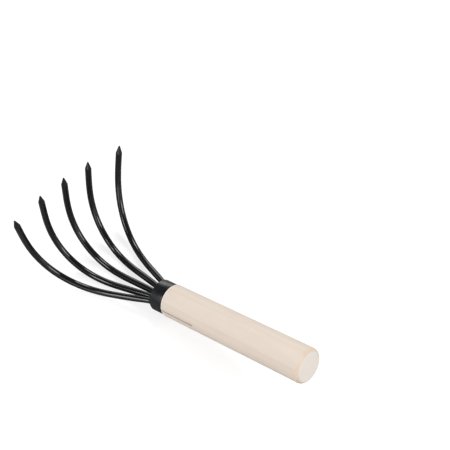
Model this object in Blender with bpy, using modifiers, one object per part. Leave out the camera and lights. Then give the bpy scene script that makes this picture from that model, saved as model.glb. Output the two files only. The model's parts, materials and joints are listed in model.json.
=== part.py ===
"""Hand rake: a turned wooden handle, a steel ferrule and five bent, pointed steel rods.

Everything is modelled along the handle's own axis, +X from the butt towards the tines, with x = 0 at
the shoulder where wood meets ferrule and +Z on the side that the tines curl to. The whole tool hangs
on one empty, which is then pitched and moved so that the tool lies on the ground at z = 0.
"""

from math import atan2, cos, pi, radians, sin

import bpy
from mathutils import Matrix, Vector

MM = 0.001

# Wooden handle
HANDLE_LENGTH = 122.0 * MM
HANDLE_FRONT_RADIUS = 11.9 * MM
HANDLE_BUTT_RADIUS = 12.5 * MM
BUTT_ROUND = 3.2 * MM
SHOULDER_ROUND = 0.8 * MM
TURNED_STEPS = 56

# Ferrule, and the spigot that the handle pushes into it
FERRULE_LENGTH = 11.0 * MM
FERRULE_RADIUS = 11.5 * MM
FERRULE_WALL = 0.7 * MM
FERRULE_ROUND = 0.35 * MM
GAP = 0.3 * MM
SPIGOT_RADIUS = FERRULE_RADIUS - FERRULE_WALL - GAP
SPIGOT_LENGTH = FERRULE_LENGTH - 1.0 * MM
SPIGOT_CHAMFER = 0.5 * MM

# Saw slot, the flat plate in it, and the wider slot for the row of rods
KERF_WIDTH = 1.0 * MM
KERF_DEPTH = 30.0 * MM
PLATE_THICKNESS = 0.5 * MM
PLATE_WIDTH = 20.0 * MM
PLATE_CORNER = 3.0 * MM
PLATE_FRONT = 1.0 * MM

# Tines: side by side in the ferrule, spread just beyond its mouth, then bent up. The roots are drawn
# thinner than the rods, so that five of them fit across the ferrule.
ROD_RADIUS = 2.35 * MM
ROOT_RADIUS = 2.05 * MM
ROOT_RUN = 18.0 * MM
ROD_PITCH = 4.3 * MM
ROD_START = PLATE_FRONT + GAP
MOUTH = FERRULE_LENGTH
SPLAY_RUN = 4.5 * MM
POINT_LENGTH = 6.0 * MM
POINT_RADIUS = 0.6 * MM
PATH_STEP = 2.3 * MM
POINT_RINGS = 4

# The pairs mirror about the middle rod. Angles are in degrees and lengths in millimetres from the
# mouth. place counts rods out from the middle, splay is the sideways heading and drift how far it
# turns back by the tip, lean tips the plane of the bend outwards, and bend is the bend's whole angle.
TINE_PAIRS = {
    "middle": dict(
        place=0, splay=0.0, drift=0.0, lean=0.0, bend=99.6, bend_start=28.3, bend_run=97.6, length=138.1
    ),
    "inner": dict(
        place=1, splay=10.5, drift=4.1, lean=5.2, bend=98.7, bend_start=28.6, bend_run=97.8, length=138.4
    ),
    "outer": dict(
        place=2, splay=20.1, drift=4.4, lean=13.9, bend=93.1, bend_start=23.1, bend_run=104.0, length=136.9
    ),
}

for old in list(bpy.data.objects):
    bpy.data.objects.remove(old, do_unlink=True)


def new_collection(name):
    collection = bpy.data.collections.new(name)
    bpy.context.scene.collection.children.link(collection)
    return collection


parts = new_collection("hand_rake")
cutters = new_collection("hand_rake_cutters")

axis = bpy.data.objects.new("handle_axis", None)
parts.objects.link(axis)


def material(name, color, metallic, roughness):
    made = bpy.data.materials.new(name)
    made.use_nodes = True
    shader = made.node_tree.nodes["Principled BSDF"]
    shader.inputs["Base Color"].default_value = (*color, 1.0)
    shader.inputs["Metallic"].default_value = metallic
    shader.inputs["Roughness"].default_value = roughness
    made.diffuse_color = (*color, 1.0)
    return made


def add_part(name, data, finish):
    """A named part that hangs on the handle's axis."""
    part = bpy.data.objects.new(name, data)
    part.parent = axis
    parts.objects.link(part)
    data.materials.append(finish)
    return part


def mesh_from(name, vertices, edges=(), faces=()):
    mesh = bpy.data.meshes.new(name)
    mesh.from_pydata(vertices, edges, faces)
    mesh.update()
    return mesh


def arc(centre, radius, start, end, steps):
    """Points of an arc as (radius from the axis, place along it), angles in degrees."""
    angles = [radians(start + (end - start) * i / steps) for i in range(steps + 1)]
    return [(centre[0] + radius * cos(a), centre[1] + radius * sin(a)) for a in angles]


def turned(name, profile, finish, closed=False):
    """A lathe shape: a profile of (radius, place) points, front end first, spun about the axis."""
    count = len(profile)
    edges = [(i, i + 1) for i in range(count - 1)]
    if closed:
        edges.append((count - 1, 0))
    mesh = mesh_from(name, [(radius, 0.0, place) for radius, place in profile], edges)
    part = add_part(name, mesh, finish)
    part.rotation_euler = (0.0, pi / 2, 0.0)
    screw = part.modifiers.new("turn", "SCREW")
    screw.axis = "Z"
    screw.angle = 2 * pi
    screw.screw_offset = 0.0
    screw.steps = TURNED_STEPS
    screw.render_steps = TURNED_STEPS
    screw.use_merge_vertices = True
    screw.merge_threshold = 0.00001
    screw.use_smooth_shade = True
    return part


def box_cutter(name, low, high):
    """A box between two corners on the handle's axes, hidden and kept for a Boolean."""
    bpy.ops.mesh.primitive_cube_add(size=1.0)
    box = bpy.context.object
    box.name = name
    middle = (Vector(low) + Vector(high)) / 2
    size = Vector(high) - Vector(low)
    box.data.transform(Matrix.Translation(middle) @ Matrix.Diagonal((*size, 1.0)))
    box.parent = axis
    for collection in list(box.users_collection):
        collection.objects.unlink(box)
    cutters.objects.link(box)
    box.hide_render = True
    box.display_type = "WIRE"
    return box


def cut(part, cutter):
    boolean = part.modifiers.new("cut_" + cutter.name, "BOOLEAN")
    boolean.operation = "DIFFERENCE"
    boolean.solver = "EXACT"
    boolean.object = cutter


def make_handle(finish):
    """Turned wood: a spigot for the ferrule, an eased shoulder, a slight taper and a rounded butt."""
    butt = -HANDLE_LENGTH
    profile = [
        (0.0, SPIGOT_LENGTH),
        (SPIGOT_RADIUS - SPIGOT_CHAMFER, SPIGOT_LENGTH),
        (SPIGOT_RADIUS, SPIGOT_LENGTH - SPIGOT_CHAMFER),
        (SPIGOT_RADIUS, 0.0),
    ]
    shoulder_centre = (HANDLE_FRONT_RADIUS - SHOULDER_ROUND, -SHOULDER_ROUND)
    butt_centre = (HANDLE_BUTT_RADIUS - BUTT_ROUND, butt + BUTT_ROUND)
    profile += arc(shoulder_centre, SHOULDER_ROUND, 90, 0, 4)
    profile += arc(butt_centre, BUTT_ROUND, 0, -90, 6)
    profile.append((0.0, butt))
    handle = turned("handle", profile, finish)

    reach = 2 * HANDLE_BUTT_RADIUS
    half_kerf = KERF_WIDTH / 2
    half_slot = ROOT_RADIUS + GAP
    past_spigot = SPIGOT_LENGTH + 1.0 * MM
    kerf = box_cutter("saw_kerf", (-KERF_DEPTH, -reach, -half_kerf), (past_spigot, reach, half_kerf))
    slot = box_cutter("rod_slot", (PLATE_FRONT, -reach, -half_slot), (past_spigot, reach, half_slot))
    cut(handle, kerf)
    cut(handle, slot)
    return handle


def make_ferrule(finish):
    """A short steel tube with both rims eased, a hair clear of the wood behind it."""
    front, rear = FERRULE_LENGTH, GAP
    outer, inner = FERRULE_RADIUS, FERRULE_RADIUS - FERRULE_WALL
    ease = FERRULE_ROUND
    profile = [(inner, rear), (inner, front - ease)]
    profile += [(inner + ease, front)]
    profile += arc((outer - ease, front - ease), ease, 90, 0, 3)
    profile += arc((outer - ease, rear + ease), ease, 0, -90, 3)
    return turned("ferrule", profile, finish, closed=True)


def make_tang_plate(finish):
    """A thin strip with rounded rear corners, clear of the saw slot on both faces."""
    rear, front = -KERF_DEPTH + GAP, PLATE_FRONT
    half = PLATE_WIDTH / 2
    corner = (rear + PLATE_CORNER, half - PLATE_CORNER)
    outline = [(front, -half), (front, half)]
    outline += arc(corner, PLATE_CORNER, 90, 180, 5)
    outline += arc((corner[0], -corner[1]), PLATE_CORNER, 180, 270, 5)
    curve = bpy.data.curves.new("tang_plate", "CURVE")
    curve.dimensions = "2D"
    curve.fill_mode = "BOTH"
    curve.extrude = PLATE_THICKNESS / 2
    spline = curve.splines.new("POLY")
    spline.points.add(len(outline) - 1)
    for point, (x, y) in zip(spline.points, outline):
        point.co = (x, y, 0.0, 1.0)
    spline.use_cyclic_u = True
    return add_part("tang_plate", curve, finish)


def ease_in_out(t):
    """0 to 1 with a soft start and a soft end."""
    t = min(max(t, 0.0), 1.0)
    return t * t * (3.0 - 2.0 * t)


def heading_at(shape, side, travelled):
    """The rod's direction after it has travelled this far beyond the ferrule's mouth."""
    spread = ease_in_out(travelled / SPLAY_RUN)
    bent = ease_in_out((travelled - shape["bend_start"] * MM) / (shape["bend_run"] * MM))
    elevation = radians(shape["bend"]) * bent
    lean = radians(shape["lean"]) * spread * side
    turned_back = shape["drift"] * travelled / (shape["length"] * MM)
    splay = radians(shape["splay"] * spread - turned_back) * side
    direction = Vector((cos(elevation), 0.0, sin(elevation)))
    direction.rotate(Matrix.Rotation(-lean, 3, "X"))
    direction.rotate(Matrix.Rotation(splay, 3, "Z"))
    return direction


def radius_at(travelled, length):
    """The rod's radius: drawn thin at the root, full along the shaft, ground to a blunt point."""
    full = ROOT_RADIUS + (ROD_RADIUS - ROOT_RADIUS) * ease_in_out(travelled / ROOT_RUN)
    along_point = max(0.0, (travelled - length + POINT_LENGTH) / POINT_LENGTH)
    return full + (POINT_RADIUS - ROD_RADIUS) * along_point


def tine_path(shape, side):
    """Centre points and radii of one rod, from its root in the slot to its sharpened point."""
    length = shape["length"] * MM
    body = length - POINT_LENGTH
    body_steps = round(body / PATH_STEP)
    stations = [body * i / body_steps for i in range(body_steps + 1)]
    stations += [body + POINT_LENGTH * i / POINT_RINGS for i in range(1, POINT_RINGS + 1)]

    place = Vector((MOUTH, side * shape["place"] * ROD_PITCH, 0.0))
    points = [Vector((ROD_START, place.y, 0.0)), place.copy()]
    radii = [ROOT_RADIUS, ROOT_RADIUS]
    for before, after in zip(stations, stations[1:]):
        place = place + heading_at(shape, side, (before + after) / 2) * (after - before)
        points.append(place)
        radii.append(radius_at(after, length))
    return points, radii


def make_tine(name, shape, side, finish):
    """A round steel rod, bent along its path and ground to a short point."""
    points, radii = tine_path(shape, side)
    curve = bpy.data.curves.new(name, "CURVE")
    curve.dimensions = "3D"
    curve.bevel_depth = ROD_RADIUS
    curve.bevel_resolution = 4
    curve.use_fill_caps = True
    spline = curve.splines.new("POLY")
    spline.points.add(len(points) - 1)
    for spot, point, radius in zip(spline.points, points, radii):
        spot.co = (*point, 1.0)
        spot.radius = radius / ROD_RADIUS
    spline.use_smooth = True
    return add_part(name, curve, finish)


def world_points(objects):
    """Every vertex of the finished shapes, in world space."""
    bpy.context.view_layer.update()
    depsgraph = bpy.context.evaluated_depsgraph_get()
    found = []
    for item in objects:
        shape = item.evaluated_get(depsgraph)
        mesh = shape.to_mesh()
        found += [shape.matrix_world @ vertex.co for vertex in mesh.vertices]
        shape.to_mesh_clear()
    return found


def lay_on_ground(ferrule, tines, everything):
    """The rods outweigh the wood, so the tool rocks forward onto the ferrule's rim and the rods."""
    rim = min(world_points([ferrule]), key=lambda point: (round(point.z, 6), -point.x))
    ahead = [point for point in world_points(tines) if point.x > rim.x + FERRULE_LENGTH]
    slope = min(atan2(point.z - rim.z, point.x - rim.x) for point in ahead)
    axis.rotation_euler = (0.0, slope, 0.0)
    points = world_points(everything)
    lows = [min(point[i] for point in points) for i in range(3)]
    highs = [max(point[i] for point in points) for i in range(3)]
    axis.location = (-(lows[0] + highs[0]) / 2, -(lows[1] + highs[1]) / 2, -lows[2])


wood = material("bare_turned_wood", (0.80, 0.69, 0.55), 0.0, 0.6)
black_paint = material("black_painted_steel", (0.012, 0.013, 0.015), 0.0, 0.3)
bare_steel = material("bare_steel", (0.45, 0.45, 0.46), 1.0, 0.4)

rake_handle = make_handle(wood)
rake_ferrule = make_ferrule(black_paint)
rake_plate = make_tang_plate(bare_steel)

rake_tines = [make_tine("tine_middle", TINE_PAIRS["middle"], 0, black_paint)]
for pair in ("inner", "outer"):
    for side_name, side_sign in (("left", 1), ("right", -1)):
        rake_tines.append(make_tine(f"tine_{side_name}_{pair}", TINE_PAIRS[pair], side_sign, black_paint))

lay_on_ground(rake_ferrule, rake_tines, [rake_handle, rake_ferrule, rake_plate, *rake_tines])
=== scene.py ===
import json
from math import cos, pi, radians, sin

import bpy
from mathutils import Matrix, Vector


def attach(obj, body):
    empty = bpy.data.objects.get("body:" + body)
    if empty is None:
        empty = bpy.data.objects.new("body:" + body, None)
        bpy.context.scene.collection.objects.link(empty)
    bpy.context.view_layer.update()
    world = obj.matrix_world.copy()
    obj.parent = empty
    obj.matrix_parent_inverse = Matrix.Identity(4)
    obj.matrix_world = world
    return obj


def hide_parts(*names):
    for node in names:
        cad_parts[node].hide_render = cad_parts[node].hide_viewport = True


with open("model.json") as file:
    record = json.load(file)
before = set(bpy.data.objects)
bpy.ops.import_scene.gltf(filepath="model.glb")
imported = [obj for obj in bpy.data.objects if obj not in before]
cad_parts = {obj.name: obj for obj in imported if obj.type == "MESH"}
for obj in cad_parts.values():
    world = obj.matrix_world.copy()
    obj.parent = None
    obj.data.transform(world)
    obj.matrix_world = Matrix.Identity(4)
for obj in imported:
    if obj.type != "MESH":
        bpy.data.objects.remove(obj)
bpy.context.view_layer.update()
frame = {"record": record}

# %% [markdown]
# # A short hand rake
#
# The tool is a turned wooden handle, a short black ferrule that binds its front end, and five round
# steel rods that leave the ferrule side by side, spread like fingers and curl up to short points.
# It lies on the table as it would after being put down: the rods are heavier than the wood, so it
# rocks forward onto the ferrule's rim and the rods, and the butt stands clear.
#
# The frame above holds the tool's true sizes. Every visible piece is modelled again here, finer, in
# exactly the same place, and kept inside the box that the frame has now.

MM = 0.001

# %% [markdown]
# ## The tool's own axes
#
# The tool is pitched where it lies, but a turner or a smith thinks along the handle. So the pieces
# are made along the handle's own axis, with x = 0 at the shoulder where wood meets ferrule, and then
# placed. The flat butt gives both the axis and the place: its face looks straight back along the
# handle, and its centre is one handle's length behind the shoulder.

# %% Find the handle's axis
HANDLE_LENGTH = 122.0 * MM

butt_face = next(mount for mount in frame["record"]["mounts"] if mount["name"] == "butt_face")
forward = -Vector(butt_face["axis"]).normalized()
left = Vector((0.0, 1.0, 0.0))
up = forward.cross(left)
shoulder = Vector(butt_face["pos_m"]) + forward * HANDLE_LENGTH

tool = Matrix.Translation(shoulder) @ Matrix((forward, left, up)).transposed().to_4x4()
pitch = tool.to_euler().y
print("pitch of the handle in degrees:", round(pitch / pi * 180, 2))

# %% [markdown]
# ## Working by hand, in code
#
# An operator acts on whatever is selected, so each step first says what that is. These helpers do
# what the A, Tab and Ctrl+A keys do in the window, and the last one hands a finished piece over.

# %% Selection and finishing helpers
def deselect():
    if bpy.context.object and bpy.context.object.mode != "OBJECT":
        bpy.ops.object.mode_set(mode="OBJECT")
    bpy.ops.object.select_all(action="DESELECT")


def only(piece):
    """Selects one object and makes it the active one."""
    deselect()
    piece.select_set(True)
    bpy.context.view_layer.objects.active = piece


def apply_place(piece):
    only(piece)
    bpy.ops.object.transform_apply(location=True, rotation=True, scale=True)


def apply_modifier(piece, name):
    only(piece)
    bpy.ops.object.modifier_apply(modifier=name)


def recalculate_normals(piece):
    only(piece)
    bpy.ops.object.mode_set(mode="EDIT")
    bpy.ops.mesh.select_all(action="SELECT")
    bpy.ops.mesh.normals_make_consistent(inside=False)
    bpy.ops.object.mode_set(mode="OBJECT")


def place_on_tool(piece):
    """Moves a piece made on the handle's axis to where the tool lies, and leaves its origin at zero."""
    piece.matrix_world = tool @ piece.matrix_world
    apply_place(piece)


def finish_piece(piece, node, material, sharp_degrees=32):
    """Smooth shading and material, a place under the root body, and the frame's part of that name hidden."""
    only(piece)
    bpy.ops.object.shade_smooth_by_angle(angle=radians(sharp_degrees))
    piece.data.materials.clear()
    piece.data.materials.append(material)
    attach(piece, "root")
    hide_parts(node)
    size = [round(side / MM, 1) for side in piece.dimensions]
    lowest = min(vertex.co.z for vertex in piece.data.vertices)
    print(piece.name, "size in mm:", size, "above the table:", round(lowest / MM, 3))


# %% [markdown]
# ## Turning on a lathe
#
# A lathe only ever changes the radius along one axis. By hand that is a filled circle, extruded
# upwards ring by ring, each ring resized to the tool's radius there. It could also be a Screw
# modifier on an outline, but ring by ring keeps every step visible and the ends closed.

# %% A piece turned ring by ring
def turn(name, profile, sides):
    """Turns a closed piece from (place, radius) pairs, standing on the world's Z axis."""
    place, radius = profile[0]
    deselect()
    bpy.ops.mesh.primitive_circle_add(vertices=sides, radius=radius, fill_type="NGON", location=(0, 0, place))
    piece = bpy.context.object
    piece.name = name
    bpy.ops.object.mode_set(mode="EDIT")
    bpy.ops.mesh.select_all(action="SELECT")
    for next_place, next_radius in profile[1:]:
        bpy.ops.mesh.extrude_region_move(TRANSFORM_OT_translate={"value": (0, 0, next_place - place)})
        share = next_radius / radius
        bpy.ops.transform.resize(value=(share, share, 1.0))
        place, radius = next_place, next_radius
    bpy.ops.object.mode_set(mode="OBJECT")
    apply_place(piece)
    recalculate_normals(piece)
    return piece


def arc(centre, radius, start, end, steps):
    """(place, radius) pairs round a quarter or less, for eased edges; angles are from straight out."""
    angles = [radians(start + (end - start) * i / steps) for i in range(steps + 1)]
    return [(centre[0] + radius * sin(a), centre[1] + radius * cos(a)) for a in angles]


def lay_down(piece):
    """Tips a turned piece from the lathe's upright axis onto the handle's axis."""
    piece.rotation_euler = (0.0, pi / 2, 0.0)
    apply_place(piece)


print("radii round a 1 mm corner in mm:", [round(r / MM, 2) for _, r in arc((0, 0), MM, 0, 90, 3)])

# %% [markdown]
# ## The wooden handle
#
# The handle is a pale hardwood dowel, turned with almost no taper, with a generous round at the
# butt and a barely eased shoulder. In front of the shoulder it steps down to a spigot that the
# ferrule slides over. The butt's round is a hair larger than the frame's 3.2 mm, because a finer
# curve would otherwise stand out past the frame's coarser one.

# %% Turn the handle
HANDLE_FRONT_RADIUS = 11.9 * MM
HANDLE_BUTT_RADIUS = 12.5 * MM
BUTT_ROUND = 3.23 * MM
SHOULDER_ROUND = 0.8 * MM
SPIGOT_RADIUS = 10.5 * MM
SPIGOT_LENGTH = 10.0 * MM
SPIGOT_CHAMFER = 0.5 * MM

butt_round_centre = (-HANDLE_LENGTH + BUTT_ROUND, HANDLE_BUTT_RADIUS - BUTT_ROUND)
shoulder_round_centre = (-SHOULDER_ROUND, HANDLE_FRONT_RADIUS - SHOULDER_ROUND)
handle_profile = [
    *arc(butt_round_centre, BUTT_ROUND, -90, 0, 14),
    *arc(shoulder_round_centre, SHOULDER_ROUND, 0, 90, 8),
    (0.0, SPIGOT_RADIUS),
    (SPIGOT_LENGTH - SPIGOT_CHAMFER, SPIGOT_RADIUS),
    (SPIGOT_LENGTH, SPIGOT_RADIUS - SPIGOT_CHAMFER),
]
handle = turn("wooden_handle", handle_profile, sides=128)
lay_down(handle)
print("rings turned:", len(handle_profile))

# %% [markdown]
# ## The saw cut and the slot
#
# A bench saw splits the front end along the plane of the rods, and a wider slot in the spigot takes
# the rods themselves. A saw leaves a straight slot right across the wood, and a box with the saw's
# thickness, subtracted with a Boolean, is the same cut. It could be a cut with two bisect planes
# and some deleted faces, but the box is closer to what the saw does.

# %% Sizes of the cuts, and a saw
KERF_WIDTH = 1.0 * MM
KERF_DEPTH = 30.0 * MM
ROOT_RADIUS = 2.05 * MM
FIT_GAP = 0.3 * MM
SLOT_WIDTH = 2 * (ROOT_RADIUS + FIT_GAP)
PLATE_FRONT = 1.0 * MM
SAWN_EDGE = 0.12 * MM


def cut_box(piece, rear, front, thickness):
    """Subtracts a box that reaches right across the wood between two places on its axis."""
    deselect()
    bpy.ops.mesh.primitive_cube_add(size=1.0, location=((rear + front) / 2, 0, 0))
    cutter = bpy.context.object
    cutter.scale = (front - rear, 4 * HANDLE_BUTT_RADIUS, thickness)
    apply_place(cutter)
    saw = piece.modifiers.new("saw", "BOOLEAN")
    saw.operation = "DIFFERENCE"
    saw.solver = "EXACT"
    saw.object = cutter
    apply_modifier(piece, "saw")
    bpy.data.objects.remove(cutter, do_unlink=True)


print("slot for the rods in mm:", round(SLOT_WIDTH / MM, 1), "wide")

# %% [markdown]
# Both cuts run out past the front end, so that no skin of wood is left there. The corners are then
# eased by a hair, because no sawn edge is perfectly sharp and a sharp one catches no light.

# %% Saw the kerf and cut the slot for the rods
past_the_end = SPIGOT_LENGTH + 2 * MM
cut_box(handle, -KERF_DEPTH, past_the_end, KERF_WIDTH)
cut_box(handle, PLATE_FRONT, past_the_end, SLOT_WIDTH)

edge = handle.modifiers.new("sawn_edge", "BEVEL")
edge.width = SAWN_EDGE
edge.segments = 2
edge.limit_method = "ANGLE"
edge.angle_limit = radians(50)
apply_modifier(handle, "sawn_edge")
recalculate_normals(handle)
place_on_tool(handle)
print("kerf in mm:", round(KERF_WIDTH / MM, 2), "by", round(KERF_DEPTH / MM, 1))

# %% [markdown]
# ## The ferrule
#
# The ferrule is a ring cut from thin steel tube. It is an open cylinder, given its wall with
# Solidify towards the inside so that the outside keeps its size, and both rims are rounded with a
# Bevel, as tumbling leaves them. It is made a fiftieth of a millimetre small, because the tool rests
# on its rim and a finer ring would otherwise dip into the table by less than a hair.

# %% Make the ferrule
FERRULE_LENGTH = 11.0 * MM
FERRULE_RADIUS = 11.48 * MM
FERRULE_WALL = 0.7 * MM
FERRULE_ROUND = 0.3 * MM

ferrule_span = FERRULE_LENGTH - FIT_GAP
deselect()
bpy.ops.mesh.primitive_cylinder_add(
    vertices=128,
    radius=FERRULE_RADIUS,
    depth=ferrule_span,
    end_fill_type="NOTHING",
    location=(FIT_GAP + ferrule_span / 2, 0, 0),
    rotation=(0, pi / 2, 0),
)
ferrule = bpy.context.object
ferrule.name = "steel_ferrule"
apply_place(ferrule)
recalculate_normals(ferrule)
wall = ferrule.modifiers.new("wall", "SOLIDIFY")
wall.thickness = FERRULE_WALL
wall.offset = -1.0
apply_modifier(ferrule, "wall")
rims = ferrule.modifiers.new("rims", "BEVEL")
rims.width = FERRULE_ROUND
rims.segments = 4
rims.limit_method = "ANGLE"
rims.angle_limit = radians(60)
apply_modifier(ferrule, "rims")
place_on_tool(ferrule)
print("ferrule in mm:", round(ferrule_span / MM, 1), "long, wall", round(FERRULE_WALL / MM, 1))

# %% [markdown]
# ## The tang plate
#
# The kerf is too thin for the rods, so they end on a flat steel strip that lies in it. The strip is
# a sheared blank: a thin box whose two rear corners are rounded, set just below the wood's surface.

# %% Cut the tang plate
PLATE_THICKNESS = 0.5 * MM
PLATE_WIDTH = 20.0 * MM
PLATE_CORNER = 3.0 * MM
PLATE_REAR = -KERF_DEPTH + FIT_GAP

deselect()
bpy.ops.mesh.primitive_cube_add(size=1.0, location=((PLATE_REAR + PLATE_FRONT) / 2, 0, 0))
tang_plate = bpy.context.object
tang_plate.name = "tang_strip"
tang_plate.scale = (PLATE_FRONT - PLATE_REAR, PLATE_WIDTH, PLATE_THICKNESS)
apply_place(tang_plate)
bpy.ops.object.mode_set(mode="EDIT")
bpy.ops.mesh.select_all(action="DESELECT")
bpy.ops.object.mode_set(mode="OBJECT")
for corner in tang_plate.data.edges:
    ends = [tang_plate.data.vertices[i].co for i in corner.vertices]
    is_upright = abs(ends[0].z - ends[1].z) > PLATE_THICKNESS / 2
    corner.select = is_upright and ends[0].x < 0
print("rear corners selected:", sum(corner.select for corner in tang_plate.data.edges))

# %% [markdown]
# The selected corners are rounded in edit mode, and a tiny bevel all round stands for the rolled
# edge that shears leave.

# %% Round the plate's corners and ease its edges
SHEARED_EDGE = 0.06 * MM

bpy.ops.object.mode_set(mode="EDIT")
bpy.ops.mesh.bevel(offset=PLATE_CORNER, segments=8, affect="EDGES")
bpy.ops.object.mode_set(mode="OBJECT")
shear = tang_plate.modifiers.new("sheared_edge", "BEVEL")
shear.width = SHEARED_EDGE
shear.segments = 2
shear.limit_method = "ANGLE"
shear.angle_limit = radians(60)
apply_modifier(tang_plate, "sheared_edge")
place_on_tool(tang_plate)
print("strip in mm:", round(PLATE_WIDTH / MM), "wide and", round(PLATE_THICKNESS / MM, 1), "thick")

# %% [markdown]
# ## One straight rod
#
# All five tines start as the same straight rod. Its root is drawn thinner, so that five fit side by
# side across the ferrule, and its other end is ground to a short cone with a blunt, rounded nose.
# The thickness grows softly from the root's to the full rod's over a short run beyond the ferrule.

# %% The thickness of a rod along its length
ROD_RADIUS = 2.35 * MM
ROOT_RUN = 18.0 * MM
ROD_START = PLATE_FRONT + FIT_GAP
MOUTH = FERRULE_LENGTH


def ease_in_out(t):
    """0 to 1 with a soft start and a soft end."""
    t = min(max(t, 0.0), 1.0)
    return t * t * (3.0 - 2.0 * t)


def shaft_radius(from_root):
    """Thin inside the ferrule, full a short way beyond it."""
    beyond_mouth = from_root - (MOUTH - ROD_START)
    return ROOT_RADIUS + (ROD_RADIUS - ROOT_RADIUS) * ease_in_out(beyond_mouth / ROOT_RUN)


print("radius at the root and far out in mm:", round(shaft_radius(0) / MM, 2), round(ROD_RADIUS / MM, 2))

# %% [markdown]
# The rod is made once and stands on the lathe like the handle: a filled circle extruded ring by
# ring, with enough rings along the shaft to bend smoothly later. The cone runs straight from the
# shaft to where it meets the round nose, and the slope is the cone's angle to the rod there.

# %% Draw and grind one straight rod
ROD_LENGTH = 146.5 * MM
ROD_SIDES = 36
RING_STEP = 1.5 * MM
POINT_LENGTH = 6.0 * MM
POINT_RADIUS = 0.6 * MM
POINT_RINGS = 8
CONE_SLOPE = 17.7
NOSE_END = 84
NOSE_RINGS = 6

shaft_length = ROD_LENGTH - POINT_LENGTH
shaft_rings = round(shaft_length / RING_STEP)
shaft = [shaft_length * ring / shaft_rings for ring in range(shaft_rings + 1)]
nose = arc((ROD_LENGTH - POINT_RADIUS, 0.0), POINT_RADIUS, CONE_SLOPE, NOSE_END, NOSE_RINGS)
cone_length = nose[0][0] - shaft_length
cone = []
for ring in range(1, POINT_RINGS):
    share = ring / POINT_RINGS
    cone.append((shaft_length + cone_length * share, ROD_RADIUS + (nose[0][1] - ROD_RADIUS) * share))
straight_rod = turn("straight_rod", [(x, shaft_radius(x)) for x in shaft] + cone + nose, ROD_SIDES)
lay_down(straight_rod)
print("straight rod in mm:", round(straight_rod.dimensions.x / MM, 1), "with", shaft_rings, "rings")

# %% [markdown]
# ## How the rods are bent
#
# Beyond the ferrule each rod turns sideways at once and then bends upwards, slowly at first, fast in
# the middle and slowly again. A soft-start, soft-end curve of the angle against the length gives
# that bend. The outer rods splay more, and their plane of bending leans outwards.

# %% The bending plan for each pair
ROD_PITCH = 4.3 * MM
SPLAY_RUN = 4.5 * MM

# Angles are in degrees, lengths in mm from the mouth. place counts rods out from the middle.
TINE_PAIRS = {
    "middle": dict(
        place=0, splay=0.0, drift=0.0, lean=0.0, bend=99.6, bend_start=28.3, bend_run=97.6, length=138.1
    ),
    "inner": dict(
        place=1, splay=10.5, drift=4.1, lean=5.2, bend=98.7, bend_start=28.6, bend_run=97.8, length=138.4
    ),
    "outer": dict(
        place=2, splay=20.1, drift=4.4, lean=13.9, bend=93.1, bend_start=23.1, bend_run=104.0, length=136.9
    ),
}
print("angle of the points in degrees:", {pair: shape["bend"] for pair, shape in TINE_PAIRS.items()})

# %% [markdown]
# The guide is found by walking along the rod in small steps, each in the rod's heading at that
# place. The splay turns it sideways, the lean tips its plane of bending, and a small drift back
# towards the middle grows along its length.

# %% The line that a rod follows
PATH_STEP = 2.3 * MM


def heading_at(shape, travelled):
    """The direction of a left-hand rod after it has travelled this far beyond the ferrule."""
    spread = ease_in_out(travelled / SPLAY_RUN)
    bent = ease_in_out((travelled - shape["bend_start"] * MM) / (shape["bend_run"] * MM))
    elevation = radians(shape["bend"]) * bent
    turned_back = shape["drift"] * travelled / (shape["length"] * MM)
    direction = Vector((cos(elevation), 0.0, sin(elevation)))
    direction.rotate(Matrix.Rotation(-radians(shape["lean"]) * spread, 3, "X"))
    direction.rotate(Matrix.Rotation(radians(shape["splay"] * spread - turned_back), 3, "Z"))
    return direction


def guide_points(shape):
    """The line that the middle of the rod follows, from its root inside the ferrule to its point."""
    length = shape["length"] * MM
    steps = round(length / PATH_STEP)
    step = length / steps
    side = shape["place"] * ROD_PITCH
    points = [Vector((ROD_START + (MOUTH - ROD_START) * i / 4, side, 0.0)) for i in range(5)]
    for i in range(steps):
        points.append(points[-1] + heading_at(shape, (i + 0.5) * step) * step)
    return points


middle_point = guide_points(TINE_PAIRS["middle"])[-1]
print("the middle rod ends at, in mm:", [round(side / MM, 1) for side in middle_point])

# %% [markdown]
# ## Bending
#
# The smith bends a straight rod round a former. A Curve modifier does the same: distance along the
# straight rod becomes distance along a guide curve, here a smooth one through the steps just walked.
# Each rod is a copy of the straight one with its own mesh. Its pointed half is pulled along until
# the rod is as long as its guide, and then it is bent. Vertices are what gets selected and pulled,
# so the selection mode is set to vertices first, as the 1 key does.

# %% Bend one tine
def guide_for(name, points):
    curve = bpy.data.curves.new(name, "CURVE")
    curve.dimensions = "3D"
    curve.resolution_u = 6
    spline = curve.splines.new("NURBS")
    spline.points.add(len(points) - 1)
    for spot, point in zip(spline.points, points):
        spot.co = (*point, 1.0)
    spline.order_u = 4
    spline.use_endpoint_u = True
    guide = bpy.data.objects.new(name, curve)
    bpy.context.scene.collection.objects.link(guide)
    return guide


def copy_of(piece, name):
    """A copy with a mesh of its own."""
    other = piece.copy()
    other.data = piece.data.copy()
    other.name = name
    bpy.context.scene.collection.objects.link(other)
    return other


def pull_to_length(rod, length):
    only(rod)
    for vertex in rod.data.vertices:
        vertex.select = vertex.co.x > ROD_LENGTH / 2
    bpy.ops.object.mode_set(mode="EDIT")
    bpy.ops.transform.translate(value=(length - ROD_LENGTH, 0.0, 0.0))
    bpy.ops.object.mode_set(mode="OBJECT")


def bend_tine(name, shape):
    guide = guide_for(name + "_guide", guide_points(shape))
    tine = copy_of(straight_rod, name)
    pull_to_length(tine, guide.data.splines[0].calc_length())
    former = tine.modifiers.new("former", "CURVE")
    former.object = guide
    former.deform_axis = "POS_X"
    apply_modifier(tine, "former")
    bpy.data.objects.remove(guide, do_unlink=True)
    recalculate_normals(tine)
    return tine


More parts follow.
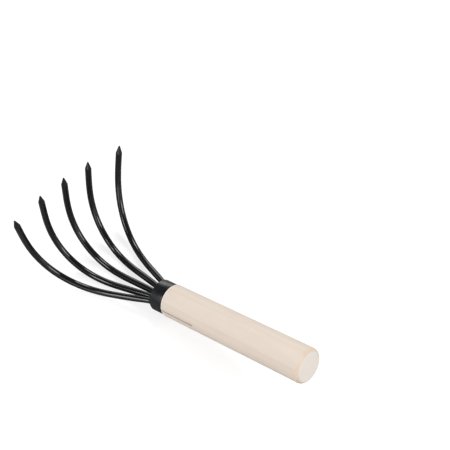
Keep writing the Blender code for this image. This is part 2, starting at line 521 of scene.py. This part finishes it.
bpy.context.tool_settings.mesh_select_mode = (True, False, False)
middle_tine = bend_tine("middle_tine", TINE_PAIRS["middle"])
print("middle tine in mm:", [round(side / MM, 1) for side in middle_tine.dimensions])

# %% [markdown]
# The right-hand rods are mirror images of the left-hand ones. A negative scale turns a mesh inside
# out, so the normals are recalculated after it.

# %% Bend and mirror the five tines
def mirror_image(tine, name):
    other = copy_of(tine, name)
    other.scale.y = -1.0
    apply_place(other)
    recalculate_normals(other)
    return other


tines = {"tine_middle": middle_tine}
for pair in ("inner", "outer"):
    bent = bend_tine(f"left_{pair}_tine", TINE_PAIRS[pair])
    tines[f"tine_left_{pair}"] = bent
    tines[f"tine_right_{pair}"] = mirror_image(bent, f"right_{pair}_tine")
for tine in tines.values():
    place_on_tool(tine)
bpy.data.objects.remove(straight_rod, do_unlink=True)
print("tines bent:", sorted(tines))

# %% [markdown]
# ## Materials
#
# Colours are written as the sRGB values that the eye knows and turned to linear light once, here.
# One helper adds a node with its settings and its links, so each material reads as a list of what
# is on the real surface. All patterns are laid out along the tool's own axes, in real sizes.

# %% Colour and node helpers
def srgb(text):
    """An sRGB hex colour as linear light, with full alpha."""
    channels = [int(text[i : i + 2], 16) / 255 for i in (1, 3, 5)]
    linear = [c / 12.92 if c <= 0.04045 else ((c + 0.055) / 1.055) ** 2.4 for c in channels]
    return (*linear, 1.0)


def add_node(tree, kind, settings=None, inputs=None, stops=()):
    """Adds a node; an input is a value or another node's output, and stops are a ramp's colours."""
    node = tree.nodes.new(kind)
    for key, value in (settings or {}).items():
        setattr(node, key, value)
    for key, value in (inputs or {}).items():
        if isinstance(value, bpy.types.NodeSocket):
            tree.links.new(value, node.inputs[key])
        else:
            node.inputs[key].default_value = value
    if stops:
        elements = node.color_ramp.elements
        while len(elements) < len(stops):
            elements.new(0.5)
        for element, (position, colour) in zip(elements, stops):
            element.position = position
            element.color = srgb(colour)
    return node


def new_material(name):
    """An empty material with a Principled shader, and the tool's own axes as coordinates."""
    material = bpy.data.materials.new(name)
    material.use_nodes = True
    tree = material.node_tree
    shader = tree.nodes["Principled BSDF"]
    place = add_node(tree, "ShaderNodeTexCoord").outputs["Object"]
    along_tool = add_node(
        tree,
        "ShaderNodeMapping",
        {"vector_type": "TEXTURE"},
        {"Vector": place, "Location": shoulder, "Rotation": (0.0, pitch, 0.0)},
    )
    return material, tree, shader, along_tool.outputs["Vector"]


print("half-bright #808080 as linear light:", round(srgb("#808080")[0], 3))

# %% [markdown]
# ## Bare beech
#
# The handle is pale beech, turned, sanded and left bare, so it is matt and nearly even in colour.
# Growth rings 2.5 mm apart run out as long faint bands on the side and as arcs on the butt. The
# pith of the tree lay outside the dowel, below and to one side, so the rings are centred there. A
# wave texture draws one ring every tenth of pi at scale 1, which gives its scale. Broad soft clouds
# a few millimetres across keep any two places from being quite alike. A Mapping node that shrinks
# the coordinate along the handle draws a pattern out along the grain.

# %% Beech: growth rings and clouds
RING_SPACING = 2.5 * MM
WAVE_PERIOD = pi / 10
CLOUD_WIDTH = 6.0 * MM
PITH_OFFSET = (0.0, 31 * MM, 47 * MM)
RINGS_ALONG_GRAIN = 0.08
CLOUDS_ALONG_GRAIN = 0.12

beech, tree, shader, place = new_material("bare_turned_beech")
from_pith = add_node(
    tree, "ShaderNodeMapping", inputs={"Vector": place, "Location": PITH_OFFSET}
).outputs["Vector"]
drawn_out = add_node(
    tree, "ShaderNodeMapping", inputs={"Vector": from_pith, "Scale": (RINGS_ALONG_GRAIN, 1.0, 1.0)}
).outputs["Vector"]
rings = add_node(
    tree,
    "ShaderNodeTexWave",
    {"wave_type": "RINGS", "rings_direction": "X", "wave_profile": "SAW"},
    {
        "Vector": drawn_out,
        "Scale": WAVE_PERIOD / RING_SPACING,
        "Distortion": 2.2,
        "Detail": 3.0,
        "Detail Scale": 0.35,
    },
).outputs["Fac"]
ring_colour = add_node(
    tree,
    "ShaderNodeValToRGB",
    inputs={"Fac": rings},
    stops=[(0.0, "#F0E3D6"), (0.62, "#EFE1D3"), (0.93, "#EDDDCC"), (1.0, "#F0E3D6")],
).outputs["Color"]
long_clouds = add_node(
    tree, "ShaderNodeMapping", inputs={"Vector": place, "Scale": (CLOUDS_ALONG_GRAIN, 1.0, 1.0)}
).outputs["Vector"]
clouds = add_node(
    tree, "ShaderNodeTexNoise", inputs={"Vector": long_clouds, "Scale": 1 / CLOUD_WIDTH, "Detail": 3.0}
).outputs["Fac"]
cloud_colour = add_node(
    tree, "ShaderNodeValToRGB", inputs={"Fac": clouds}, stops=[(0.3, "#FAF8F6"), (0.7, "#FFFFFF")]
).outputs["Color"]
tinted = add_node(
    tree,
    "ShaderNodeMix",
    {"data_type": "RGBA", "blend_type": "MULTIPLY"},
    {"Factor": 1.0, "A": ring_colour, "B": cloud_colour},
).outputs["Result"]
print("wave scale for the growth rings:", round(WAVE_PERIOD / RING_SPACING, 1))

# %% [markdown]
# Beech is known by the short dark flecks of its rays. They are about a millimetre apart across the
# grain and five times as long, and only as strong as the fibres under them. The fibres themselves
# are drawn 0.3 mm wide, coarser than life, because finer ones would not show at all.

# %% Beech: fibres and flecks
FIBRE_WIDTH = 0.3 * MM
FLECK_SPACING = 0.9 * MM
FIBRES_ALONG_GRAIN = 0.025
FLECKS_ALONG_GRAIN = 0.2

long_fibres = add_node(
    tree, "ShaderNodeMapping", inputs={"Vector": place, "Scale": (FIBRES_ALONG_GRAIN, 1.0, 1.0)}
).outputs["Vector"]
fibres = add_node(
    tree, "ShaderNodeTexNoise", inputs={"Vector": long_fibres, "Scale": 1 / FIBRE_WIDTH, "Detail": 2.0}
).outputs["Fac"]
long_flecks = add_node(
    tree, "ShaderNodeMapping", inputs={"Vector": place, "Scale": (FLECKS_ALONG_GRAIN, 1.0, 1.0)}
).outputs["Vector"]
fleck_cells = add_node(
    tree,
    "ShaderNodeTexVoronoi",
    {"feature": "F1"},
    {"Vector": long_flecks, "Scale": 1 / FLECK_SPACING, "Randomness": 1.0},
).outputs["Distance"]
flecks = add_node(
    tree,
    "ShaderNodeMapRange",
    {"interpolation_type": "SMOOTHSTEP"},
    {"Value": fleck_cells, "From Min": 0.05, "From Max": 0.26, "To Min": 1.0, "To Max": 0.0},
).outputs["Result"]
fleck_strength = add_node(
    tree, "ShaderNodeMath", {"operation": "MULTIPLY"}, {0: flecks, 1: fibres}
).outputs["Value"]
flecked = add_node(
    tree,
    "ShaderNodeMix",
    {"data_type": "RGBA"},
    {"Factor": fleck_strength, "A": tinted, "B": srgb("#E2D0BC")},
).outputs["Result"]
print("flecks per 10 mm across the grain:", round(10 * MM / FLECK_SPACING))

# %% [markdown]
# The butt shows two tones besides the side's own. Its rounded rim cuts across the fibres and is
# warmer, and the flat face is paler, because sanding leaves fine dust in the open ends of the
# fibres. Both follow the distance from the butt, and each fades in between two such distances.

# %% Beech: rim and face of the butt
BUTT = -HANDLE_LENGTH
RIM_TONE_BEGINS = 3.6 * MM
RIM_TONE_FULL = 1.2 * MM
RIM_TONE = 0.45
FACE_TONE_BEGINS = 0.6 * MM
FACE_TONE_FULL = 0.02 * MM
DUST_TONE = 0.6

along_handle, _, across_cut = add_node(
    tree, "ShaderNodeSeparateXYZ", inputs={"Vector": place}
).outputs
rim_share = add_node(
    tree,
    "ShaderNodeMapRange",
    {"interpolation_type": "SMOOTHSTEP"},
    {
        "Value": along_handle,
        "From Min": BUTT + RIM_TONE_BEGINS,
        "From Max": BUTT + RIM_TONE_FULL,
        "To Max": RIM_TONE,
    },
).outputs["Result"]
rimmed = add_node(
    tree,
    "ShaderNodeMix",
    {"data_type": "RGBA", "blend_type": "MULTIPLY"},
    {"Factor": rim_share, "A": flecked, "B": srgb("#F3E2CE")},
).outputs["Result"]
face_share = add_node(
    tree,
    "ShaderNodeMapRange",
    {"interpolation_type": "SMOOTHSTEP"},
    {
        "Value": along_handle,
        "From Min": BUTT + FACE_TONE_BEGINS,
        "From Max": BUTT + FACE_TONE_FULL,
    },
).outputs["Result"]
dusty = add_node(
    tree,
    "ShaderNodeMix",
    {"data_type": "RGBA"},
    {"Factor": DUST_TONE, "A": flecked, "B": srgb("#F6F0EA")},
).outputs["Result"]
faced = add_node(
    tree, "ShaderNodeMix", {"data_type": "RGBA"}, {"Factor": face_share, "A": rimmed, "B": dusty}
).outputs["Result"]
print("the butt's rim is", round(BUTT_ROUND / MM, 1), "mm round, and its tone starts a little before it")

# %% [markdown]
# The eased shoulder is painted nearly white, a painted highlight where its round catches the light.
# The walls of the saw cut are painted darker, a painted shade in the narrow recess. They are the
# only wood nearer than half a kerf to the middle plane and ahead of the end of the cut.

# %% Beech: shoulder and saw cut
SHOULDER_HIGHLIGHT_BEGINS = -1.3 * MM
SHOULDER_HIGHLIGHT_FULL = -0.8 * MM
SHOULDER_HIGHLIGHT = 0.85

# The near-white band on the eased shoulder is a painted highlight.
shoulder_highlight_share = add_node(
    tree,
    "ShaderNodeMapRange",
    {"interpolation_type": "SMOOTHSTEP"},
    {
        "Value": along_handle,
        "From Min": SHOULDER_HIGHLIGHT_BEGINS,
        "From Max": SHOULDER_HIGHLIGHT_FULL,
        "To Max": SHOULDER_HIGHLIGHT,
    },
).outputs["Result"]
with_shoulder_highlight = add_node(
    tree,
    "ShaderNodeMix",
    {"data_type": "RGBA"},
    {"Factor": shoulder_highlight_share, "A": faced, "B": srgb("#FBF7F2")},
).outputs["Result"]
from_middle = add_node(
    tree, "ShaderNodeMath", {"operation": "ABSOLUTE"}, {0: across_cut}
).outputs["Value"]
inside_cut = add_node(
    tree,
    "ShaderNodeMath",
    {"operation": "LESS_THAN"},
    {0: from_middle, 1: KERF_WIDTH / 2 + SAWN_EDGE / 4},
).outputs["Value"]
ahead_of_end = add_node(
    tree,
    "ShaderNodeMath",
    {"operation": "GREATER_THAN"},
    {0: along_handle, 1: -KERF_DEPTH - SAWN_EDGE / 4},
).outputs["Value"]
painted_cut_shade_share = add_node(
    tree, "ShaderNodeMath", {"operation": "MULTIPLY"}, {0: inside_cut, 1: ahead_of_end}
).outputs["Value"]
# The walls of the saw cut are painted darker here, as painted shade in the recess.
sawn = add_node(
    tree,
    "ShaderNodeMix",
    {"data_type": "RGBA"},
    {"Factor": painted_cut_shade_share, "A": with_shoulder_highlight, "B": srgb("#D0C0AB")},
).outputs["Result"]
tree.links.new(sawn, shader.inputs["Base Color"])
# The darker walls printed here are painted shade in the saw cut.
print("scorched walls reach", round(KERF_DEPTH / MM), "mm behind the shoulder")

# %% [markdown]
# Bare wood scatters light almost evenly. The fibres stand up a few hundredths of a millimetre after
# sanding, and what little shine there is breaks up along them.

# %% Beech: roughness and raised fibres
RAISED_FIBRE = 0.04 * MM

wood_roughness = add_node(
    tree, "ShaderNodeMapRange", inputs={"Value": fibres, "To Min": 0.5, "To Max": 0.68}
).outputs["Result"]
tree.links.new(wood_roughness, shader.inputs["Roughness"])
raised = add_node(
    tree, "ShaderNodeBump", inputs={"Strength": 0.35, "Distance": RAISED_FIBRE, "Height": fibres}
).outputs["Normal"]
tree.links.new(raised, shader.inputs["Normal"])
shader.inputs["IOR"].default_value = 1.5
print(beech.name, "nodes:", len(tree.nodes))

# %% [markdown]
# ## Black enamel on the rods
#
# The rods are drawn steel wire, dipped in gloss black enamel. The dip levels to a hard shine with a
# slight waviness about a millimetre across, so highlights are thin bright lines that waver a little.
# Handling dulls the shine in faint patches the size of a fingertip's touch.

# %% Rod enamel
PATCH_WIDTH = 6.0 * MM
WAVE_WIDTH = 1.1 * MM
WAVE_HEIGHT = 0.05 * MM

enamel, tree, shader, place = new_material("dipped_black_enamel")
patches = add_node(
    tree,
    "ShaderNodeTexNoise",
    inputs={"Vector": place, "Scale": 1 / PATCH_WIDTH, "Detail": 4.0, "Roughness": 0.6},
).outputs["Fac"]
enamel_colour = add_node(
    tree, "ShaderNodeValToRGB", inputs={"Fac": patches}, stops=[(0.3, "#0C0D0F"), (0.75, "#15161A")]
).outputs["Color"]
tree.links.new(enamel_colour, shader.inputs["Base Color"])
enamel_roughness = add_node(
    tree,
    "ShaderNodeMapRange",
    inputs={"Value": patches, "From Min": 0.3, "From Max": 0.7, "To Min": 0.1, "To Max": 0.18},
).outputs["Result"]
tree.links.new(enamel_roughness, shader.inputs["Roughness"])
waviness = add_node(
    tree, "ShaderNodeTexNoise", inputs={"Vector": place, "Scale": 1 / WAVE_WIDTH, "Detail": 1.0}
).outputs["Fac"]
wavy = add_node(
    tree, "ShaderNodeBump", inputs={"Strength": 0.25, "Distance": WAVE_HEIGHT, "Height": waviness}
).outputs["Normal"]
tree.links.new(wavy, shader.inputs["Normal"])
shader.inputs["IOR"].default_value = 1.5
print(enamel.name, "nodes:", len(tree.nodes))

# %% [markdown]
# ## Satin paint on the ferrule
#
# The ferrule is painted separately, with a thinner satin coat over tube that was rolled. The tube's
# faint circular lines show through. They soften the highlights and draw them out round the ring.

# %% Ferrule paint
TUBE_LINE_WIDTH = 0.4 * MM
TUBE_LINE_HEIGHT = 0.03 * MM
LINES_ROUND_RING = 0.04

ferrule_paint, tree, shader, place = new_material("satin_black_paint_on_tube")
round_the_ring = add_node(
    tree, "ShaderNodeMapping", inputs={"Vector": place, "Scale": (1.0, LINES_ROUND_RING, LINES_ROUND_RING)}
).outputs["Vector"]
tube_lines = add_node(
    tree,
    "ShaderNodeTexNoise",
    inputs={"Vector": round_the_ring, "Scale": 1 / TUBE_LINE_WIDTH, "Detail": 2.0},
).outputs["Fac"]
paint_colour = add_node(
    tree, "ShaderNodeValToRGB", inputs={"Fac": tube_lines}, stops=[(0.3, "#0D0E12"), (0.8, "#17191F")]
).outputs["Color"]
tree.links.new(paint_colour, shader.inputs["Base Color"])
paint_roughness = add_node(
    tree, "ShaderNodeMapRange", inputs={"Value": tube_lines, "To Min": 0.2, "To Max": 0.32}
).outputs["Result"]
tree.links.new(paint_roughness, shader.inputs["Roughness"])
lined = add_node(
    tree,
    "ShaderNodeBump",
    inputs={"Strength": 0.2, "Distance": TUBE_LINE_HEIGHT, "Height": tube_lines},
).outputs["Normal"]
tree.links.new(lined, shader.inputs["Normal"])
shader.inputs["IOR"].default_value = 1.5
print(ferrule_paint.name, "nodes:", len(tree.nodes))

# %% [markdown]
# ## Bare strip steel
#
# The tang plate is cold-rolled strip with the roller's fine lines along it, dulled by a thin brown
# film of oil, so it looks grey and faintly streaked. A metal keeps the shader's default IOR.

# %% Strip steel
ROLLER_LINE_WIDTH = 0.25 * MM
LINES_ALONG_STRIP = 0.03

strip_steel, tree, shader, place = new_material("cold_rolled_strip_steel")
along_strip = add_node(
    tree, "ShaderNodeMapping", inputs={"Vector": place, "Scale": (LINES_ALONG_STRIP, 1.0, 1.0)}
).outputs["Vector"]
roller_lines = add_node(
    tree,
    "ShaderNodeTexNoise",
    inputs={"Vector": along_strip, "Scale": 1 / ROLLER_LINE_WIDTH, "Detail": 2.0},
).outputs["Fac"]
steel_colour = add_node(
    tree, "ShaderNodeValToRGB", inputs={"Fac": roller_lines}, stops=[(0.3, "#6A655F"), (0.7, "#8E8B87")]
).outputs["Color"]
tree.links.new(steel_colour, shader.inputs["Base Color"])
steel_roughness = add_node(
    tree, "ShaderNodeMapRange", inputs={"Value": roller_lines, "To Min": 0.35, "To Max": 0.55}
).outputs["Result"]
tree.links.new(steel_roughness, shader.inputs["Roughness"])
shader.inputs["Metallic"].default_value = 1.0
print(strip_steel.name, "nodes:", len(tree.nodes))

# %% [markdown]
# ## Handing the pieces to the frame
#
# Each piece gets its material and smooth shading up to the angle of its real edges, is hung under
# the root body, and hides the frame's part that it stands for.

# %% Finish every piece
finish_piece(handle, "handle", beech)
finish_piece(ferrule, "ferrule", ferrule_paint)
finish_piece(tang_plate, "tang_plate", strip_steel)
for node, tine in tines.items():
    finish_piece(tine, node, enamel)

# %% [markdown]
# ## Table, light and camera
#
# The tool lies on a table that should look pure white, as in a catalogue. The table itself throws
# back only part of the light, so the enamel stays black. A Light Path node adds the missing white
# for the camera alone, from wherever it looks, and leaves a trace of the shadow.

# %% White table
TABLE_WHITE = 0.75
TABLE_SIZE = 20.0

deselect()
bpy.ops.mesh.primitive_plane_add(size=TABLE_SIZE, location=(0, 0, 0))
table = bpy.context.object
table.name = "white_table"
table_material = bpy.data.materials.new("matt_white_table")
table_material.use_nodes = True
table_tree = table_material.node_tree
table_shader = table_tree.nodes["Principled BSDF"]
table_shader.inputs["Base Color"].default_value = srgb("#AAAAAA")
table_shader.inputs["Roughness"].default_value = 0.9
table_shader.inputs["Specular IOR Level"].default_value = 0.0
table_shader.inputs["Emission Color"].default_value = srgb("#FFFFFF")
seen_directly = add_node(table_tree, "ShaderNodeLightPath").outputs["Is Camera Ray"]
added_white = add_node(
    table_tree, "ShaderNodeMath", {"operation": "MULTIPLY"}, {0: seen_directly, 1: TABLE_WHITE}
)
table_tree.links.new(added_white.outputs["Value"], table_shader.inputs["Emission Strength"])
table.data.materials.append(table_material)
print("table in m:", TABLE_SIZE, "square")

# %% [markdown]
# The room has pale walls and a dark ceiling: the walls put a soft light edge on every rod, and the
# ceiling keeps the middle of each rod black. The world's strength follows the height of the
# direction looked in, from level to about half way up.

# %% Pale walls and dark ceiling
WALL_BRIGHTNESS = 0.95
CEILING_BRIGHTNESS = 0.14
WALL_TOP = 0.05
CEILING_EDGE = 0.55

world = bpy.data.worlds.new("pale_walls_dark_ceiling")
bpy.context.scene.world = world
world.use_nodes = True
room = world.node_tree
looking = add_node(room, "ShaderNodeTexCoord").outputs["Generated"]
height = add_node(room, "ShaderNodeSeparateXYZ", inputs={"Vector": looking}).outputs["Z"]
brightness_at_height = add_node(
    room,
    "ShaderNodeMapRange",
    {"interpolation_type": "SMOOTHSTEP"},
    {
        "Value": height,
        "From Min": WALL_TOP,
        "From Max": CEILING_EDGE,
        "To Min": WALL_BRIGHTNESS,
        "To Max": CEILING_BRIGHTNESS,
    },
).outputs["Result"]
background = room.nodes["Background"]
room.links.new(brightness_at_height, background.inputs["Strength"])
background.inputs["Color"].default_value = srgb("#FFFFFF")
print(world.name, "from", WALL_BRIGHTNESS, "down to", CEILING_BRIGHTNESS)

# %% [markdown]
# Three small bright soft boxes do most of the lighting and are mirrored in the enamel as thin bright
# lines: one on the left, one overhead to the right and one behind the butt, which also lights the
# end grain. A wider box in front on the right shines on the ferrule, and a broad dim one low on
# the left fills the underside of the wood. A lamp's power is worked out from how bright its face
# should look, so its size can change without changing the shine.

# %% Soft boxes
def soft_box(name, direction, distance, size, brightness):
    """A rectangular lamp that faces the tool; brightness is how bright its face looks, white being 1."""
    lamp = bpy.data.lights.new(name, "AREA")
    lamp.shape = "RECTANGLE"
    lamp.size, lamp.size_y = size
    lamp.energy = brightness * pi * size[0] * size[1]
    holder = bpy.data.objects.new(name, lamp)
    bpy.context.scene.collection.objects.link(holder)
    holder.location = Vector(direction).normalized() * distance
    holder.rotation_euler = holder.location.to_track_quat("Z", "Y").to_euler()


soft_box("left_box", (0.33, 0.78, 0.53), 1.2, (0.46, 0.36), 9.0)
soft_box("overhead_box", (0.27, -0.48, 0.84), 1.2, (0.4, 0.4), 9.0)
soft_box("rear_box", (-0.83, -0.11, 0.54), 1.2, (0.5, 0.5), 8.5)
soft_box("right_box", (0.67, -0.66, 0.34), 1.5, (0.8, 0.6), 2.1)
soft_box("low_left_fill", (-0.1, 0.95, 0.2), 1.5, (1.6, 0.6), 1.6)
print("soft boxes:", [lamp.name for lamp in bpy.data.lights])

# %% [markdown]
# The camera has a 100 mm lens, as for product work, and looks down at the tool from behind the
# handle's left side. It is placed by its eye, the spot on the table that it looks at, and a small
# roll about its own axis.

# %% Camera
CAMERA_EYE = Vector((-0.3848, 0.4210, 0.6734))
CAMERA_AIM = Vector((0.0372, -0.0909, 0.0))
CAMERA_ROLL = radians(1.51)

camera_data = bpy.data.cameras.new("camera")
camera_data.lens = 100.0
camera_data.sensor_width = 36.0
camera = bpy.data.objects.new("camera", camera_data)
bpy.context.scene.collection.objects.link(camera)
look = (CAMERA_AIM - CAMERA_EYE).to_track_quat("-Z", "Y").to_matrix().to_4x4()
camera.matrix_world = Matrix.Translation(CAMERA_EYE) @ look @ Matrix.Rotation(CAMERA_ROLL, 4, "Z")
bpy.context.scene.camera = camera
bpy.context.scene.view_settings.view_transform = "Standard"
print("camera's distance in m:", round((CAMERA_AIM - CAMERA_EYE).length, 2))
